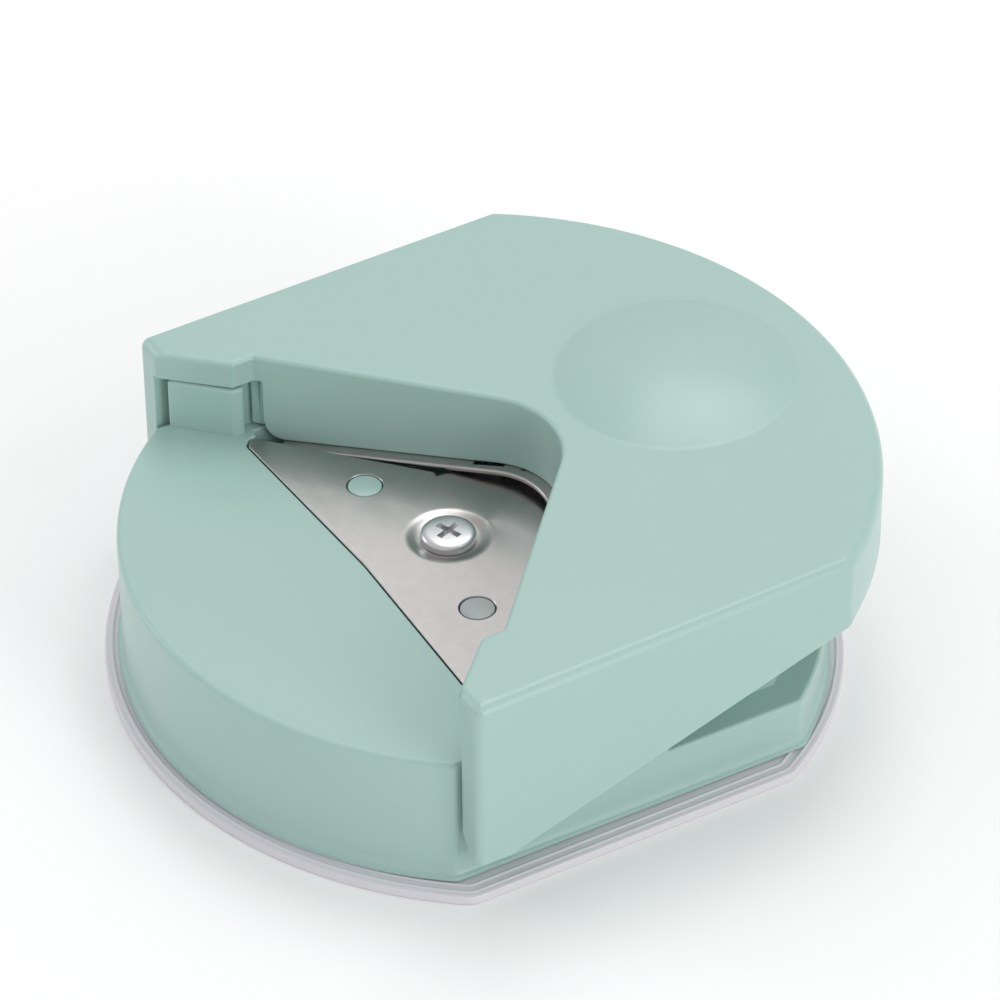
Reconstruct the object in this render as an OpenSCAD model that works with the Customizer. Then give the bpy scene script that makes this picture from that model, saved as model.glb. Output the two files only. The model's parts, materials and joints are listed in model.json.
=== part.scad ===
// Corner rounder. A press lever hinged on two posts carries an upper steel plate that
// closes on a die plate, and pushes a sprung cutter through the die's rounded corner.
// +Y runs from the paper table to the thumb end, +Z is up, and z = 0 is the tray's underside.

/* [Press lever] */
// Width across the two arms
lever_w = 58; // [57:0.5:59]
// Radius of the thumb end
thumb_end_r = 35.6; // [35:0.1:36.5]
// Height of the top face at the arm tips
lever_top_z = 20.5; // [20.2:0.1:22]
// Rise of the top face towards the thumb end, in degrees
lever_tilt = 1.55; // [1:0.05:2]
// Thickness of the top wall
cap_t = 2.5; // [2.3:0.1:2.6]
// Thickness of the side walls
skirt_t = 2.7; // [2.4:0.1:2.8]
// Thickness of the walls along the notch
notch_wall_t = 1.6; // [1.4:0.1:1.8]
// Radius of the thumb dome's rim
dome_r = 10.3; // [8:0.1:11]
// Height of the thumb dome
dome_h = 1.75; // [1:0.05:2]
// How far the lever turns down, in degrees
press_angle = 8; // [7:0.5:8]

/* [Base and table] */
// Height of the paper table
table_z = 13; // [13:0.1:13.2]
// Width across the flat sides
base_w = 51.8; // [51.4:0.1:51.8]
// Radius of the round front
front_r = 32.4; // [32:0.1:32.6]
// Height of the ledge round the sides
ledge_z = 5.9; // [5.5:0.1:6.2]
// Thickness of the base's walls
base_wall_t = 1.8; // [1.6:0.1:2]

/* [Cutting] */
// Radius that is cut on the sheet's corner
corner_r = 4; // [3.5:0.5:4]
// Thickness of the die plate
die_t = 1; // [0.8:0.1:1]
// Thickness of the upper plate
upper_t = 0.5; // [0.4:0.05:0.5]
// How far the upper plate stands out of the notch wall
lip = 0.9; // [0.6:0.05:1]
// Side clearance between the cutter and its hole
cut_gap = 0.04; // [0.03:0.01:0.05]

/* [Tray] */
// Thickness of the tray's rim
tray_rim_t = 1.03; // [0.9:0.01:1.1]
// Thickness of the tray's floor
tray_floor_t = 0.9; // [0.8:0.05:1]

/* [Springs and hardware] */
// Wire diameter of the return springs
wire_d = 0.4; // [0.3:0.05:0.5]
// Turns in each return spring
spring_turns = 4; // [3:1:5]
// Diameter of the hinge pins
hinge_pin_d = 2.4; // [2:0.1:2.4]
// Diameter of the guide posts
post_d = 2.4; // [2:0.1:2.4]

/* [Hidden] */
$fn = 96;
eps = 0.02;
far = 80;
mint = [0.66, 0.80, 0.76];
steel = [0.72, 0.71, 0.70];
dark_steel = [0.30, 0.31, 0.32];

// Lever outline
arm_tip_y = -17.5;
thumb_end_y = -3.4;
notch_y = 8.73;
notch_half_angle = 47.67;
notch_r = 7.7;
notch_c_y = notch_y - notch_r / sin(notch_half_angle);
notch_end_x = 21.3;
notch_wall_end_x = 20.7;
jog_y = -12.5;
arm_inner_x = 25.8;
skirt_tip_z = 4.4;
skirt_rise_y = -14.5;
skirt_end_y = 18;
skirt_end_z = 14.95;
skirt_rear_z = 15.2;
skirt_inner_x = lever_w / 2 - skirt_t - 0.15;
dome_y = 18.4;

// Hinge axis
hinge_y = 0;
hinge_z = 15.2;
hinge_gap = 0.05;
pin_end_x = 28;

// Base outline
front_c_y = 1.64;
rear_r = 32.3;
rear_c_y = -4.5;
inset = 2.9;
full_width_y = 2;
deck_z = 10.6;
deck_t = 2;
table_t = 2.6;
post_inner_x = 21.15;
post_outer_x = 25.55;
post_rear_y = 1.8;
post_setback = 0.1;
post_top_z = 17.7;

// Tray rim outline
rim_x = 28.4;
rim_front_r = 34.9;
rim_front_c_y = 2.68;
rim_rear_r = 32;
rim_rear_c_y = -2.2;

// Die plate outline and the sheet's corner
die_gap = 0.15;
side_edge_y = 7.05;
tongue_x = 7.6;
tongue_step_x = 8.2;
tongue_step_y = -0.6;
tongue_neck_x = 5;
tongue_neck_y = 9.6;
tongue_rear_y = 12.6;
die_front_y = -11.6;
die_tip_x = 19.2;
die_tip_y = -12.35;
peg_d = 3;
peg_x = 9.56;
peg_y = -6.4;
screw_y = -3.7;
head_d = 4.7;
head_h = 0.6;
head_edge = 0.25;
sheet_tip_y = 8.8;
arc_c_y = sheet_tip_y - corner_r * sqrt(2);
upper_half_l = 19.4;
upper_front_y = -11;
upper_rear_y = 10.6;
cutter_half_w = 3;
cutter_rear_y = 11.4;
cutter_foot_z = 14.2;
cutter_body_y = 8.4;
stop_x = 5.5;
stop_l = 2.26;
stop_t = 1;
stop_h = 0.45;

// Cutter drive
post_x = 8.2;
post_y = 13.6;
post_end_z = 17.05;
push_y = 13.5;
holder_z = 15.6;
holder_t = 2;
holder_arm_t = 1;
cutter_z = 13.6;
cutter_pin_y = 9.9;
cutter_pin_d = 1.6;
cutter_pin_l = 1.2;
holder_half_l = 11.2;
holder_half_w = 2.8;
holder_block_x = 4.2;
pad_ball_r = 2.6;
pad_z = holder_z + holder_t + 0.02;
boss_z = 18.6;
frame_t = 1.4;
frame_half_l = 13.5;
frame_y = 2.5;
frame_w = 15.5;
ring_d = 4.4;
pocket_d = 5.6;
ring_z = holder_z + holder_arm_t + 0.02;
ring_t = 0.3;

// Screws and pegs
plate_screw_x = 13.4;
plate_screw_y = 3.2;
frame_screw_x = 11.3;
frame_screw_y = 5.6;

// Height of the lever's top face and of the upper plate's underside, over y
function top_z(y) = lever_top_z + tan(lever_tilt) * (y - arm_tip_y);
function plate_z(y) = table_z + 0.03 + tan(press_angle) * (y - hinge_y);

// Extrudes a side view, given as [y, z] points, across the whole width
module side_profile(points, width = far) {
    rotate([90, 0, 90]) linear_extrude(width, center = true) polygon(points);
}

// Everything that lies between two heights
module slab(z0, z1) {
    translate([0, 0, z0]) linear_extrude(z1 - z0) children();
}

// A right-hand half outline joined to its mirror image
function mirrored(points) = concat(
    points, [for (i = [len(points) - 1 : -1 : 0]) [-points[i][0], points[i][1]]]
);

module both_sides() {
    children();
    mirror([1, 0, 0]) children();
}

// The region in front of the notch wall, moved back by shift
module notch_zone(shift = 0, x_end = notch_end_x) {
    r = notch_r + shift;
    touch = notch_half_angle - 2;
    translate([0, notch_c_y]) circle(r = r);
    polygon(mirrored([
        [r * cos(touch), notch_c_y + r * sin(touch)], notch_end(shift, x_end), [x_end, -far]
    ]));
}

// The same region with a faceted apex, for the inner side of the notch wall
module notch_core(shift, x_end = notch_end_x, facets = 9) {
    r = notch_r + shift;
    step = (180 - 2 * notch_half_angle) / facets;
    apex = [for (i = [0 : facets]) notch_half_angle + i * step];
    ends = [notch_end(shift, x_end), [x_end, -far]];
    polygon(concat(
        [ends[1], ends[0]], [for (a = apex) [r * cos(a), notch_c_y + r * sin(a)]],
        [[-ends[0][0], ends[0][1]], [-ends[1][0], ends[1][1]]]
    ));
}

function notch_end(shift, x_end) = [
    x_end, notch_y + shift / sin(notch_half_angle) - x_end / tan(notch_half_angle)
];

module lever_outline() {
    difference() {
        intersection() {
            translate([-lever_w / 2, arm_tip_y]) square([lever_w, far]);
            translate([0, thumb_end_y]) circle(r = thumb_end_r, $fn = 180);
        }
        notch_zone();
        polygon(mirrored([[notch_end_x, jog_y], [arm_inner_x, arm_tip_y], [arm_inner_x, -far]]));
    }
}

module lever_inside() {
    difference() {
        intersection() {
            translate([-skirt_inner_x, -far / 2]) square([2 * skirt_inner_x, far]);
            translate([0, thumb_end_y]) circle(r = thumb_end_r - skirt_t, $fn = 180);
        }
        notch_core(notch_wall_t);
    }
}

// Plan of the base, drawn in by d all round
module base_outline(d = 0) {
    half = base_w / 2 - d;
    intersection() {
        translate([-half, -far / 2]) square([2 * half, far / 2]);
        translate([0, front_c_y]) circle(r = front_r - d, $fn = 180);
    }
    intersection() {
        translate([-half, -eps]) square([2 * half, far / 2]);
        translate([0, rear_c_y]) circle(r = rear_r - d, $fn = 180);
    }
}

// The sheet's rounded corner, drawn in by gap
module sheet_corner(gap = 0) {
    r = corner_r - gap;
    touch = r / sqrt(2);
    translate([0, arc_c_y]) circle(r = r);
    polygon(mirrored([[touch, arc_c_y + touch], [touch + far, arc_c_y + touch - far]]));
}

// Plan of the cutter, or with a gap the plan of a hole for it
module cutter_plan(gap = 0) {
    half = cutter_half_w + gap;
    difference() {
        translate([-half, 0]) square([2 * half, cutter_rear_y + gap]);
        sheet_corner(gap);
    }
}

// Plan of the two paper stops, or with a gap the plan of holes for them
module stop_plan(gap = 0) {
    both_sides() translate([stop_x, sheet_tip_y - stop_x]) rotate([0, 0, -45]) {
        translate([-stop_l / 2 - gap, -gap]) square([stop_l + 2 * gap, stop_t + 2.6 * gap]);
    }
}

// Plan of the die plate, grown by d
module die_outline(d = 0) {
    slope = 1 / tan(notch_half_angle);
    rear_in = side_edge_y - slope * tongue_step_x;
    tip_rear = side_edge_y - slope * (die_tip_x + 0.6);
    polygon(concat([[0, die_front_y - d]], mirrored([
        [die_tip_x, die_tip_y - d], [die_tip_x + 0.9 + d, die_tip_y + 0.5 - d],
        [die_tip_x + 0.6 + d, tip_rear + d], [tongue_step_x, rear_in + d],
        [tongue_x + d, tongue_step_y], [tongue_x + d, tongue_neck_y + d],
        [tongue_neck_x + d, tongue_neck_y + d], [tongue_neck_x + d, tongue_rear_y + d]
    ])));
}

module post_places() {
    both_sides() translate([post_x, post_y]) children();
}

// Base: a shell with a paper table, a ledge, a deck for the mechanism and two hinge posts
module base_body() {
    color(mint) difference() {
        union() {
            slab(tray_rim_t + eps, ledge_z) base_outline();
            slab(ledge_z - eps, table_z) intersection() {
                base_outline();
                translate([-far / 2, -far]) square([far, far + full_width_y]);
            }
            slab(ledge_z - eps, table_z) base_outline(inset);
            slab(table_z - eps, post_top_z) both_sides() polygon([
                [post_inner_x, jog_y - post_setback], [post_outer_x, arm_tip_y + post_setback],
                [post_outer_x, post_rear_y], [post_inner_x, post_rear_y]
            ]);
        }
        base_hollow();
        mechanism_well();
        slab(table_z - die_t, far) die_outline(die_gap);
        chip_opening();
        both_sides() translate([0, hinge_y, hinge_z]) rotate([0, 90, 0]) {
            cylinder(d = hinge_pin_d, h = far);
        }
        translate([0, screw_y, 0]) cylinder(d = 2, h = far);
        deck_holes();
    }
    color(mint) both_sides() translate([peg_x, peg_y, table_z - die_t - eps]) {
        cylinder(d = peg_d, h = die_t + eps);
    }
    color(mint) difference() {
        translate([0, screw_y, table_z - table_t - 4]) cylinder(d = 5.4, h = 4.2);
        translate([0, screw_y, 0]) cylinder(d = 2, h = far);
    }
}

// The space under the table and the deck
module base_hollow() {
    slab(-eps, table_z - table_t) intersection() {
        base_outline(base_wall_t);
        translate([-far / 2, -far]) square([far, far + full_width_y - 1.5]);
    }
    slab(-eps, ledge_z - 1.5) base_outline(base_wall_t);
    slab(-eps, deck_z - deck_t) base_outline(inset + base_wall_t);
}

// The open space behind the table's rear edge, above the deck
module mechanism_well() {
    slope = 1 / tan(notch_half_angle);
    slab(deck_z, far) intersection() {
        union() {
            base_outline(inset + base_wall_t);
            translate([-post_inner_x, -far / 2]) square([2 * post_inner_x, far / 2]);
        }
        difference() {
            polygon(concat([[0, side_edge_y]], mirrored([
                [post_inner_x, side_edge_y - slope * post_inner_x], [post_inner_x, far]
            ])));
            tongue_pad();
        }
    }
}

// The pad of the deck that carries the die plate's tongue
module tongue_pad(rim = 0.6) {
    wide = tongue_x + rim;
    narrow = tongue_neck_x + rim;
    translate([-wide, -far]) square([2 * wide, far + tongue_neck_y + rim]);
    translate([-narrow, -far]) square([2 * narrow, far + tongue_rear_y + rim]);
}

// Chips fall through the die, this opening and into the tray
module chip_opening() {
    slab(-eps, table_z) cutter_plan(0.6);
}

module deck_holes() {
    post_places() translate([0, 0, -eps]) cylinder(d = post_d, h = far);
    both_sides() translate([frame_screw_x, frame_screw_y, -eps]) cylinder(d = 1.8, h = deck_z - 0.1);
}

// Lower steel plate: the visible triangle and a tongue with the rounded die hole
module die_plate() {
    color(steel) slab(table_z - die_t, table_z) difference() {
        die_outline();
        both_sides() translate([peg_x, peg_y]) circle(d = peg_d + 0.1);
        translate([0, screw_y]) circle(d = 2.2);
        cutter_plan(cut_gap);
    }
}

// Pan-head screw that holds the die plate on the table
module die_screw() {
    color(steel) difference() {
        translate([0, screw_y, 0]) {
            translate([0, 0, table_z - 5.4]) cylinder(d = 2, h = 5.5);
            translate([0, 0, table_z]) cylinder(d = head_d, h = head_h - head_edge);
            translate([0, 0, table_z + head_h - head_edge]) cylinder(d1 = head_d, d2 = 3.6, h = head_edge);
        }
        for (turn = [0, 90]) translate([0, screw_y, table_z + head_h]) {
            rotate([0, 0, turn + 20]) cube([2.5, 0.55, head_h], center = true);
        }
    }
}

// Two small fences that square the sheet's edges to the die
module paper_stops() {
    color(dark_steel) slab(table_z, table_z + stop_h) stop_plan();
}

// Frame under the deck that holds the guide posts' feet
module chip_frame() {
    color(dark_steel) slab(deck_z - deck_t - frame_t, deck_z - deck_t) difference() {
        translate([-frame_half_l, frame_y]) square([2 * frame_half_l, frame_w]);
        translate([-5, frame_y + 1.3]) square([10, 9]);
        post_places() circle(d = post_d);
        both_sides() translate([frame_screw_x, frame_screw_y]) circle(d = 1.8);
    }
}

module frame_screws() {
    color(steel) both_sides() translate([frame_screw_x, frame_screw_y, deck_z - deck_t - frame_t]) {
        cylinder(d = 1.8, h = 3.2);
        translate([0, 0, -0.9]) cylinder(d = 3.4, h = 0.9);
    }
}

// Two steel posts on which the cutter holder slides
module guide_posts() {
    color(steel) post_places() slab(deck_z - deck_t - frame_t, post_end_z) circle(d = post_d);
}

// Retaining rings that stop the holder at the top of its travel
module post_rings() {
    color(dark_steel) post_places() slab(ring_z, ring_z + ring_t) difference() {
        circle(d = ring_d);
        circle(d = post_d);
    }
}

// Washers under the return springs
module spring_washers() {
    color(steel) post_places() slab(deck_z, deck_z + 0.3) difference() {
        circle(d = 4.8);
        circle(d = post_d + 0.1);
    }
}

// Steel pins through the posts, on which the lever's arms turn
module hinge_pins() {
    color(steel) both_sides() translate([post_inner_x, hinge_y, hinge_z]) rotate([0, 90, 0]) {
        cylinder(d = hinge_pin_d, h = pin_end_x - post_inner_x);
    }
}

// Press lever: a shell open at the bottom, with a thumb dome and bosses inside
module press_lever() {
    color(mint) difference() {
        union() {
            lever_shell();
            lever_dome();
            lever_bosses();
        }
        both_sides() translate([skirt_inner_x - 1, hinge_y, hinge_z]) rotate([0, 90, 0]) {
            cylinder(d = hinge_pin_d + 2 * hinge_gap, h = pin_end_x + 0.1 - skirt_inner_x + 1);
        }
        plate_screw_places() cylinder(d = 1.6, h = 4.3);
        translate([0, push_y, 0]) cylinder(d = 1.6, h = top_z(push_y) - 1);
        post_places() cylinder(d = pocket_d, h = top_z(post_y) - 1.6);
    }
}

// The outline between the top face and the skirts' lower edge, hollowed below the cap
module lever_shell() {
    difference() {
        intersection() {
            slab(0, far) lever_outline();
            side_profile([
                [-far / 2, skirt_tip_z], [skirt_rise_y, skirt_tip_z], [skirt_end_y, skirt_end_z],
                [far / 2, skirt_rear_z], [far / 2, top_z(far / 2)], [-far / 2, top_z(-far / 2)]
            ]);
        }
        intersection() {
            slab(-eps, far) lever_inside();
            below_line(top_z(-far) - cap_t, top_z(far) - cap_t);
        }
        intersection() {
            translate([-skirt_inner_x, -far / 2, 0]) cube([2 * skirt_inner_x, far / 2 + notch_y, far]);
            below_line(plate_z(-far) + upper_t, plate_z(far) + upper_t);
        }
        intersection() {
            both_sides() translate([notch_wall_end_x, -far / 2, 0]) {
                cube([skirt_inner_x - notch_wall_end_x, far / 2, far]);
            }
            below_line(top_z(-far) - cap_t, top_z(far) - cap_t);
        }
    }
}

// Everything below a line that runs from z0 at y = -far to z1 at y = far
module below_line(z0, z1) {
    side_profile([[-far, -far], [far, -far], [far, z1], [-far, z0]]);
}

module lever_dome() {
    ball_r = (dome_r * dome_r + dome_h * dome_h) / (2 * dome_h);
    translate([0, dome_y, top_z(dome_y)]) rotate([lever_tilt, 0, 0]) intersection() {
        translate([0, 0, dome_h - ball_r]) sphere(r = ball_r, $fn = 180);
        translate([0, 0, -0.5]) cylinder(r = dome_r + 2, h = 3);
    }
}

// Bosses for the upper plate's screws and for the pusher pad
module lever_bosses() {
    both_sides() intersection() {
        translate([plate_screw_x, plate_screw_y, 0]) cylinder(d = 4.6, h = top_z(plate_screw_y) - 1);
        side_profile([
            [-far, plate_z(-far) + upper_t], [far, plate_z(far) + upper_t], [far, far], [-far, far]
        ]);
    }
    slab(boss_z, top_z(push_y) - 1) translate([0, push_y]) circle(d = 6);
}

// Upper steel plate: it follows the notch and closes flat on the die plate
module upper_plate() {
    color(steel) intersection() {
        slab(0, far) difference() {
            translate([-upper_half_l, upper_front_y]) square([2 * upper_half_l, upper_rear_y - upper_front_y]);
            notch_zone(-lip, 30);
            cutter_plan(0.3);
            stop_plan(0.25);
            both_sides() translate([plate_screw_x, plate_screw_y]) circle(d = 1.8);
        }
        side_profile([
            [-far / 2, plate_z(-far / 2)], [far / 2, plate_z(far / 2)],
            [far / 2, plate_z(far / 2) + upper_t], [-far / 2, plate_z(-far / 2) + upper_t]
        ]);
    }
}

module plate_screw_places() {
    at = [plate_screw_x, plate_screw_y, plate_z(plate_screw_y)];
    both_sides() translate(at) rotate([press_angle, 0, 0]) children();
}

module plate_screws() {
    color(steel) plate_screw_places() {
        translate([0, 0, -0.55]) cylinder(d = 3, h = 0.55);
        cylinder(d = 1.6, h = 4.2);
    }
}

// Round-nosed pad under the lever that bears on the cutter holder
module pusher_pad() {
    color(dark_steel) translate([0, push_y, 0]) difference() {
        intersection() {
            translate([0, 0, pad_z + pad_ball_r]) sphere(r = pad_ball_r);
            cylinder(d = 6, h = boss_z);
        }
        translate([0, 0, boss_z - 0.4]) cylinder(d = 1.6, h = 2);
    }
}

module pusher_rivet() {
    color(steel) translate([0, push_y, 0]) slab(boss_z - 0.4, top_z(push_y) - 1.1) circle(d = 1.6);
}

// Hardened cutter with a hollow round front; its foot reaches under the notch wall
module cutter() {
    color(steel) difference() {
        union() {
            slab(cutter_z, cutter_foot_z) cutter_plan();
            slab(cutter_z, holder_z) intersection() {
                cutter_plan();
                translate([-far / 2, cutter_body_y]) square([far, far]);
            }
        }
        translate([0, cutter_pin_y, holder_z - cutter_pin_l]) cylinder(d = cutter_pin_d, h = far);
    }
}

module cutter_pin() {
    color(dark_steel) slab(holder_z - cutter_pin_l, holder_z + holder_t) {
        translate([0, cutter_pin_y]) circle(d = cutter_pin_d);
    }
}

// Holder that carries the cutter and slides on the two posts
module cutter_holder() {
    color(dark_steel) difference() {
        union() {
            slab(holder_z, holder_z + holder_arm_t) translate([0, post_y]) {
                square([2 * holder_half_l, 2 * holder_half_w], center = true);
            }
            slab(holder_z, holder_z + holder_t) translate([-holder_block_x, cutter_body_y]) {
                square([2 * holder_block_x, post_y + holder_half_w - cutter_body_y]);
            }
        }
        post_places() translate([0, 0, holder_z - eps]) cylinder(d = post_d + 0.8, h = holder_t);
        translate([0, cutter_pin_y, holder_z - eps]) cylinder(d = cutter_pin_d, h = far);
    }
}

// Bushes in the holder that run on the posts
module post_bushes() {
    color([0.80, 0.66, 0.40]) post_places() slab(holder_z, holder_z + holder_arm_t) difference() {
        circle(d = post_d + 0.8);
        circle(d = post_d + 0.08);
    }
}

// Points of a coil's centre line and of its round section
function coil_point(a, r, pitch) = [r * cos(a), r * sin(a), pitch * a / 360];
function wire_spoke(a, b) = wire_d / 2 * [cos(a) * cos(b), sin(a) * cos(b), sin(b)];
function wire_ring(a, r, pitch, sides) = [
    for (s = [0 : sides - 1]) coil_point(a, r, pitch)
        + wire_spoke(a, 360 * s / sides)
];

// One coil spring from z = 0 up to height h
module coil(r, h, turns, steps = 14, sides = 6) {
    n = turns * steps;
    pitch = (h - wire_d) / turns;
    points = [for (i = [0 : n]) each wire_ring(360 * i / steps, r, pitch, sides)];
    walls = [
        for (i = [0 : n - 1], s = [0 : sides - 1])
            let (a = i * sides, b = a + sides, t = (s + 1) % sides) [a + s, b + s, b + t, a + t]
    ];
    first = [for (s = [0 : sides - 1]) s];
    last = [for (s = [0 : sides - 1]) n * sides + sides - 1 - s];
    translate([0, 0, wire_d / 2]) polyhedron(points = points, faces = concat([first], walls, [last]));
}

// Springs that lift the cutter holder back up
module return_springs() {
    color(steel) post_places() translate([0, 0, deck_z + 0.3]) {
        coil(r = post_d / 2 + 0.45, h = holder_z - deck_z - 0.3, turns = spring_turns);
    }
}

// Clear tray that closes the base and catches the chips
module chip_tray() {
    color([0.80, 0.80, 0.84, 0.5]) {
        difference() {
            slab(0, tray_rim_t) tray_outline();
            slab(tray_floor_t, far) base_outline(base_wall_t + 1.4);
        }
        slab(tray_rim_t - eps, 3.2) difference() {
            base_outline(base_wall_t + 0.2);
            base_outline(base_wall_t + 1.4);
        }
        both_sides() translate([base_w / 2 - base_wall_t - 0.25, -6, 2.2]) cube([0.15, 12, 0.5]);
    }
}

module tray_outline() {
    intersection() {
        translate([-rim_x, -far / 2]) square([2 * rim_x, far / 2]);
        translate([0, rim_front_c_y]) circle(r = rim_front_r, $fn = 180);
    }
    intersection() {
        translate([-rim_x, -eps]) square([2 * rim_x, far / 2]);
        translate([0, rim_rear_c_y]) circle(r = rim_rear_r, $fn = 180);
    }
}

base_body();
die_plate();
die_screw();
paper_stops();
chip_frame();
frame_screws();
guide_posts();
post_rings();
spring_washers();
hinge_pins();
press_lever();
upper_plate();
plate_screws();
pusher_pad();
pusher_rivet();
cutter();
cutter_pin();
cutter_holder();
post_bushes();
return_springs();
chip_tray();
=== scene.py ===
import json
from math import acos, asin, atan2, cos, degrees, hypot, pi, radians, sin, sqrt, tan

import bmesh
import bpy
from mathutils import Matrix, Vector
from mathutils.geometry import delaunay_2d_cdt


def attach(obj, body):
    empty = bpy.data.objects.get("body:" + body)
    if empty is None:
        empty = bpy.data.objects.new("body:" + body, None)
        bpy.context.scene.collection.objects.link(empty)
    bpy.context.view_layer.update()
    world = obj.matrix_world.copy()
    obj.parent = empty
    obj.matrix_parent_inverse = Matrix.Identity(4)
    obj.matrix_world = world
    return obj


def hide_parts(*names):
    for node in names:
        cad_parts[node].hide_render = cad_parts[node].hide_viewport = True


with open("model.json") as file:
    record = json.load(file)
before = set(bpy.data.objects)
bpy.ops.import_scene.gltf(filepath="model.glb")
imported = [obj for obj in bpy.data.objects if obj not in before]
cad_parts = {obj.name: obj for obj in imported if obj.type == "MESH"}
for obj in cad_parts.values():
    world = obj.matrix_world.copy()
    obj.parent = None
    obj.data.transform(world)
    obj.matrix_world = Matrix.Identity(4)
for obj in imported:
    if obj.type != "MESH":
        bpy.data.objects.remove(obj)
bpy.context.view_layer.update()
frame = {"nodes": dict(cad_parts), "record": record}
nodes = frame["nodes"]

MM = 0.001

# ---------------------------------------------------------------- outlines
# An outline is a closed, counter-clockwise chain of lines and arcs, in mm, whose inside is on the left.
# A line has ends p and q and a direction u. An arc has a centre c, a radius r and angles a0 and a1.
# Both have a kind k and the number n of steps that they are drawn in.
LEAST_R = 0.02


def line(p, q, n=1):
    p, q = Vector(p), Vector(q)
    return {"k": "line", "p": p, "q": q, "u": (q - p).normalized(), "n": n}


def arc(c, r, a0, a1, n):
    return {"k": "arc", "c": Vector(c), "r": r, "a0": radians(a0), "a1": radians(a1), "n": n}


def chain(stops):
    """Lines from stop to stop. A stop is (x, y, steps to the next one)."""
    return [line(a[:2], b[:2], a[2]) for a, b in zip(stops, stops[1:])]


def mirrored(segs):
    """The same lines on the other side of x = 0, in the order that carries an outline on."""
    return [line((-s["q"].x, s["q"].y), (-s["p"].x, s["p"].y), s["n"]) for s in reversed(segs)]


def polygon(corners, side, steps=3):
    """Lines and radii for corners (x, y, radius) given for the right side, mirrored where side is -1."""
    if side < 0:
        corners = [(-x, y, r) for x, y, r in reversed(corners)]
    following = corners[1:] + corners[:1]
    segs = [line(a[:2], b[:2], steps) for a, b in zip(corners, following)]
    return segs, [b[2] for b in following]


def sense(s):
    """1 for an arc that runs counter-clockwise, -1 for one that runs the other way."""
    return 1 if s["a1"] > s["a0"] else -1


def at(s, t):
    """Point at share t of a line or an arc."""
    if s["k"] == "line":
        return s["p"].lerp(s["q"], t)
    a = s["a0"] + (s["a1"] - s["a0"]) * t
    return s["c"] + s["r"] * Vector((cos(a), sin(a)))


def way(s, t):
    """Direction at share t of a line or an arc."""
    if s["k"] == "line":
        return s["u"]
    a = s["a0"] + (s["a1"] - s["a0"]) * t
    return sense(s) * Vector((-sin(a), cos(a)))


def inward(s, d):
    """The line or arc moved to its left by d."""
    s = dict(s)
    if s["k"] == "line":
        n = Vector((-s["u"].y, s["u"].x)) * d
        s["p"], s["q"] = s["p"] + n, s["q"] + n
    else:
        s["r"] -= d * sense(s)
    return s


def meet(a, b):
    """Where the end of a crosses the start of b. At least one of them is a line."""
    if a["k"] == "line" and b["k"] == "line":
        u, v, w = a["u"], b["u"], b["p"] - a["q"]
        return a["q"] + u * ((w.x * v.y - w.y * v.x) / (u.x * v.y - u.y * v.x))
    guess = (at(a, 1) + at(b, 0)) / 2
    straight, bent = (a, b) if a["k"] == "line" else (b, a)
    u = straight["u"]
    m = straight["p"] - bent["c"]
    along = -m.dot(u)
    high = (m + u * along).length
    half = sqrt(max(bent["r"] ** 2 - high**2, 0))
    return min((straight["p"] + u * (along + k * half) for k in (-1, 1)), key=lambda x: (x - guess).length)


def cut(s, point, end):
    """Move the end, or else the start, of s to a point in line with it."""
    if s["k"] == "line":
        s["q" if end else "p"] = point.copy()
        return
    a = atan2(point.y - s["c"].y, point.x - s["c"].x)
    key = "a1" if end else "a0"
    while a - s[key] > pi:
        a -= 2 * pi
    while a - s[key] < -pi:
        a += 2 * pi
    s[key] = a


def back_off(s, t, end):
    """Take the length t off the end, or else the start, of s."""
    if s["k"] == "line":
        if end:
            s["q"] = s["q"] - s["u"] * t
        else:
            s["p"] = s["p"] + s["u"] * t
    elif end:
        s["a1"] -= sense(s) * t / s["r"]
    else:
        s["a0"] += sense(s) * t / s["r"]


def bend_size(a, b, radius, drawn):
    """(radius, turn, length taken off a and b) of a rounded joint that is drawn in by that much."""
    u, v = way(a, 1), way(b, 0)
    turn = u.angle(v)
    left = u.x * v.y - u.y * v.x > 0
    r = max(radius - drawn if left else radius + drawn, LEAST_R)
    return r, turn, r * tan(turn / 2)


def bend_points(a, b, bend, shares):
    """Points on the curve that rounds the joint of a and b."""
    r, turn, _ = bend
    reach = 4 / 3 * tan(turn / 4) * r
    p0, p3 = at(a, 1), at(b, 0)
    p1, p2 = p0 + way(a, 1) * reach, p3 - way(b, 0) * reach
    points = []
    for t in shares:
        s = 1 - t
        points.append(s**3 * p0 + 3 * t * s**2 * p1 + 3 * t * t * s * p2 + t**3 * p3)
    return points


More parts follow.
